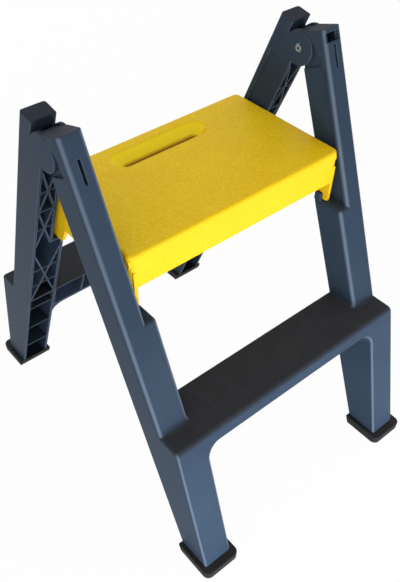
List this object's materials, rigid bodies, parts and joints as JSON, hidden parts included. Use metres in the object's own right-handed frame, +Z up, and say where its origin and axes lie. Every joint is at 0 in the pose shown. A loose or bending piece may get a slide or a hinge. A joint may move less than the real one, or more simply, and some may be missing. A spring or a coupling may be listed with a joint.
{
  "type": "folding step stool",
  "caption": "Folding A-frame step stool: moulded frames with a low tread each, hinged at the top, and a lift-up platform between the rails with a hand-hold for carrying.",
  "frame": {"origin": "on the floor, midway between the four feet", "axes": "+X to the right across the stool, -Y towards the front frame, +Z up"},
  "size_m": [0.428, 0.5874, 0.583],
  "materials": {
    "frame_plastic": "satin moulded slate blue",
    "platform_plastic": "fine pebbled yellow",
    "foot_rubber": "matt black",
    "hinge_steel": "zinc plated",
    "bush_plastic": "plain dark grey"
  },
  "bodies": {
    "front": {"front_frame": "frame_plastic", "front_left_foot": "foot_rubber", "front_right_foot": "foot_rubber", "left_hinge_bush": "bush_plastic", "right_hinge_bush": "bush_plastic", "left_pivot_pin": "hinge_steel", "right_pivot_pin": "hinge_steel", "left_pivot_spacer": "bush_plastic", "right_pivot_spacer": "bush_plastic", "left_pivot_nut": "hinge_steel", "right_pivot_nut": "hinge_steel"},
    "rear": {"rear_frame": "frame_plastic", "rear_left_foot": "foot_rubber", "rear_right_foot": "foot_rubber", "left_hinge_pin": "hinge_steel", "right_hinge_pin": "hinge_steel", "left_hinge_washer": "hinge_steel", "right_hinge_washer": "hinge_steel"},
    "platform": {"platform": "platform_plastic"}
  },
  "joints": [
    {"name": "frame_fold", "type": "hinge", "parent": "front", "child": "rear", "pos_m": [0, 0, 0.55], "axis": [1, 0, 0], "range_deg": [-45, 0]},
    {"name": "platform_lift", "type": "hinge", "parent": "front", "child": "platform", "pos_m": [0, -0.08436, 0.437], "axis": [1, 0, 0], "range_deg": [0, 67]}
  ],
  "couplings": [
    {"joint": "platform_lift", "follows": "frame_fold", "ratio": -1.4888}
  ]
}
